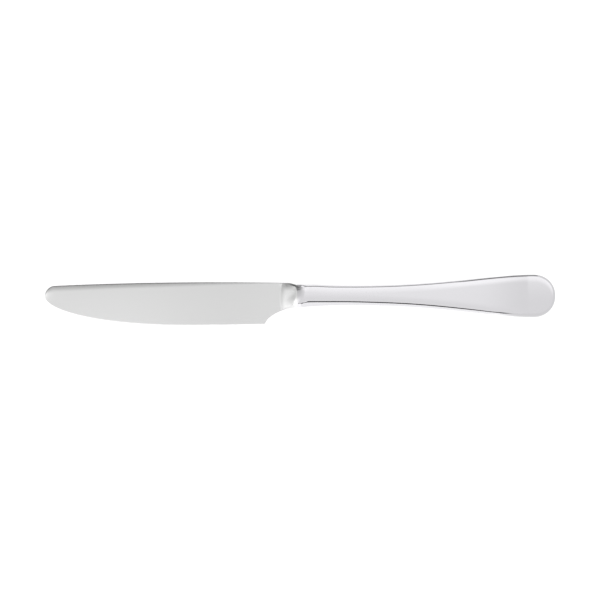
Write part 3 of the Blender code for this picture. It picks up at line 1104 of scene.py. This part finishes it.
card("front_flag", standing((-0.03, FLAG_FRONT), (0.5, FLAG_FRONT), CARD_FOOT, 1.0), BLACK)
card("low_flag", standing((0.5, FLAG_FRONT), (1.0, FLAG_FRONT), CARD_FOOT, 0.36), BLACK)
card("side_flag", standing((0.5, FLAG_FRONT), (0.66, FLAG_FRONT), 0.36, 0.65), BLACK)

# %% Grey flags at the back
TAIL_FLAG_BACK = 0.10
FLAG_BACK = 0.40
DARK_GREY = 0.12

card("tail_flag", standing((0.07, TAIL_FLAG_BACK), (0.115, TAIL_FLAG_BACK), CARD_FOOT, 0.12), 0.25)
card("blade_flag", standing((-0.5, FLAG_BACK), (-0.02, FLAG_BACK), CARD_FOOT, 0.35), DARK_GREY)
card("crest_flag", standing((-0.75, FLAG_BACK), (-0.5, FLAG_BACK), CARD_FOOT, 0.25), DARK_GREY)
card("handle_flag", standing((-0.02, FLAG_BACK), (0.12, FLAG_BACK), CARD_FOOT, 0.33), 0.40)
card("neck_flag", standing((0.12, FLAG_BACK), (2.0, FLAG_BACK), CARD_FOOT, 0.33), 0.22)

# %% A wall at the blade's end, wings in front, and a lip beside the bolster
WING_GLOW = 1.35
WING_GAP = -0.83
LIP_FRONT = -0.0062

wall_line = ((-CANOPY_REACH, 0.44), (-CANOPY_REACH, 1.4))
card("left_wall", standing(*wall_line, CARD_FOOT, CANOPY_HEIGHT), 0.74)
card("left_wing", lying(-CANOPY_REACH, -0.25, -CANOPY_REACH, CANOPY_FRONT, CANOPY_HEIGHT), WING_GLOW)
card("right_wing", lying(0.20, CANOPY_REACH, WING_GAP, CANOPY_FRONT, CANOPY_HEIGHT), WING_GLOW)
card("outer_wing", lying(0.62, CANOPY_REACH, -CANOPY_REACH, WING_GAP, CANOPY_HEIGHT), WING_GLOW)
card("bolster_lip", standing((-0.0016, LIP_FRONT), (0.0011, LIP_FRONT), 0.0005, 0.0095), WING_GLOW)

# %% [markdown]
# ## A small tent round the tail
#
# The sides of the round tail look in all directions, so they would show every flag at once. A photographer
# puts a paper tent over such a place. This one has a roof, a bed and three walls round the tail, and its
# front wall darkens towards the handle, where the dark line of the edge goes on. Round all the cards there
# is only a plain white room.

# %% Tent
TENT_ROOF = 0.06
TENT_BED = 0.0006
TENT_END = 0.15
TENT_FRONT = -0.03
TENT_BACK = 0.045
TENT_GLOW = 0.87
BED_START = 0.080
LIP_START = 0.082
LIP_END = 0.095

tent_roof = card("tail_card", lying(0.10, 0.19, -0.06, 0.06, TENT_ROOF), 0.92)
fade_glow(tent_roof, [(1.24, {"y": (0.007, 0.034)})])
tent_bed = card("tail_bed", lying(BED_START, TENT_END, TENT_FRONT, TENT_BACK, TENT_BED), 1.20)
fade_glow(tent_bed, [(TENT_GLOW, {"x": (BED_START, 0.090)})])
tent_lip = card("tail_lip", standing((LIP_START, TENT_FRONT), (LIP_END, TENT_FRONT), TENT_BED, 0.03), BLACK)
fade_glow(tent_lip, [(TENT_GLOW, {"x": (LIP_START, 0.089)})])
card("tail_front", standing((LIP_END, TENT_FRONT), (TENT_END, TENT_FRONT), TENT_BED, TENT_ROOF), TENT_GLOW)
card("tail_end", standing((TENT_END, TENT_FRONT), (TENT_END, TENT_BACK), TENT_BED, TENT_ROOF), TENT_GLOW)
card("tail_back", standing((0.106, TENT_BACK), (TENT_END, TENT_BACK), TENT_BED, TENT_ROOF), TENT_GLOW)

# %% White room round the table
world = bpy.data.worlds.new("white_tent")
bpy.context.scene.world = world
world.use_nodes = True
room = world.node_tree.nodes["Background"]
room.inputs["Color"].default_value = linear("#FFFFFF")
room.inputs["Strength"].default_value = 1.0
print("room:", world.name)

# %% [markdown]
# ## The camera
#
# The knife is seen almost from straight above, a little from the side of its cutting edge. A long lens from
# far away keeps it free of perspective, as a catalogue picture is. The standard view transform leaves white
# paper white, where a film curve would grey it.

# %% Camera
FRAME_WIDTH = 0.2468
CAMERA_DISTANCE = 1.6
CAMERA_ELEVATION = math.radians(80)
AIM = Vector((-0.0001, -0.0001, 0.0040))

lens = bpy.data.cameras.new("long_lens")
camera = bpy.data.objects.new("camera", lens)
bpy.context.scene.collection.objects.link(camera)
bpy.context.scene.camera = camera
view_from = Vector((0, -math.cos(CAMERA_ELEVATION), math.sin(CAMERA_ELEVATION)))
camera.location = AIM + view_from * CAMERA_DISTANCE
camera.rotation_euler = view_from.to_track_quat("Z", "Y").to_euler()
lens.lens = lens.sensor_width * CAMERA_DISTANCE / FRAME_WIDTH
bpy.context.scene.view_settings.view_transform = "Standard"
print("focal length in mm:", round(lens.lens))
